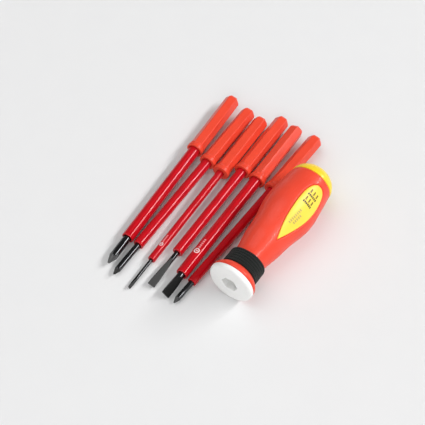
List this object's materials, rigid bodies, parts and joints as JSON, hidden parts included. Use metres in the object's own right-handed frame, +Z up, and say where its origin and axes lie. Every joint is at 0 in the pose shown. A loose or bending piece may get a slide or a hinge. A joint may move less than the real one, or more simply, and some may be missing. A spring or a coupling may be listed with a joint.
{
  "type": "insulated screwdriver set",
  "caption": "Insulated screwdriver handle with a hexagonal socket and a soft grip, beside its interchangeable sleeved blades with crosshead and slotted tips.",
  "frame": {"origin": "middle of the footprint of the laid-out set, on the surface it lies on", "axes": "+Z up; the handle and the blades point along -Y, tips first, and the handle is on the +X side"},
  "size_m": [0.1246, 0.1886, 0.0388],
  "materials": {
    "core": "satin",
    "grip": "soft matt",
    "nose": "satin",
    "liner": "satin",
    "cushion": "matt",
    "spring": "bright",
    "plug": "satin",
    "ball": "polished",
    "band": "ribbed elastic",
    "rod": "dark, polished",
    "sleeve": "glossy",
    "shank": "satin"
  },
  "bodies": {
    "handle": {"handle_core": "core", "grip_sleeve": "grip", "nose_disc": "nose", "socket_sleeve": "liner", "socket_stop": "cushion", "detent_spring": "spring", "detent_plug": "plug", "neck_band": "band"},
    "detent": {"detent_ball": "ball"},
    "blade_1": {"blade_1_rod": "rod", "blade_1_sleeve": "sleeve", "blade_1_shank": "shank"},
    "blade_2": {"blade_2_rod": "rod", "blade_2_sleeve": "sleeve", "blade_2_shank": "shank"},
    "blade_3": {"blade_3_rod": "rod", "blade_3_sleeve": "sleeve", "blade_3_shank": "shank"},
    "blade_4": {"blade_4_rod": "rod", "blade_4_sleeve": "sleeve", "blade_4_shank": "shank"},
    "blade_5": {"blade_5_rod": "rod", "blade_5_sleeve": "sleeve", "blade_5_shank": "shank"},
    "blade_6": {"blade_6_rod": "rod", "blade_6_sleeve": "sleeve", "blade_6_shank": "shank"}
  },
  "joints": [
    {"name": "detent_press", "type": "slide", "parent": "handle", "child": "detent", "axis": [0, 0.0272, -0.9996], "range_m": [0, 0.0008], "stiffness_N_per_m": 600, "springref_m": -0.0015, "deforming": ["detent_spring"]},
    {"name": "blade_1_lift", "type": "slide", "parent": "handle", "child": "blade_1", "axis": [0, 0, 1], "range_m": [0, 0.045]},
    {"name": "blade_2_lift", "type": "slide", "parent": "handle", "child": "blade_2", "axis": [0, 0, 1], "range_m": [0, 0.045]},
    {"name": "blade_3_lift", "type": "slide", "parent": "handle", "child": "blade_3", "axis": [0, 0, 1], "range_m": [0, 0.045]},
    {"name": "blade_4_lift", "type": "slide", "parent": "handle", "child": "blade_4", "axis": [0, 0, 1], "range_m": [0, 0.045]},
    {"name": "blade_5_lift", "type": "slide", "parent": "handle", "child": "blade_5", "axis": [0, 0, 1], "range_m": [0, 0.045]},
    {"name": "blade_6_lift", "type": "slide", "parent": "handle", "child": "blade_6", "axis": [0, 0, 1], "range_m": [0, 0.045]}
  ]
}
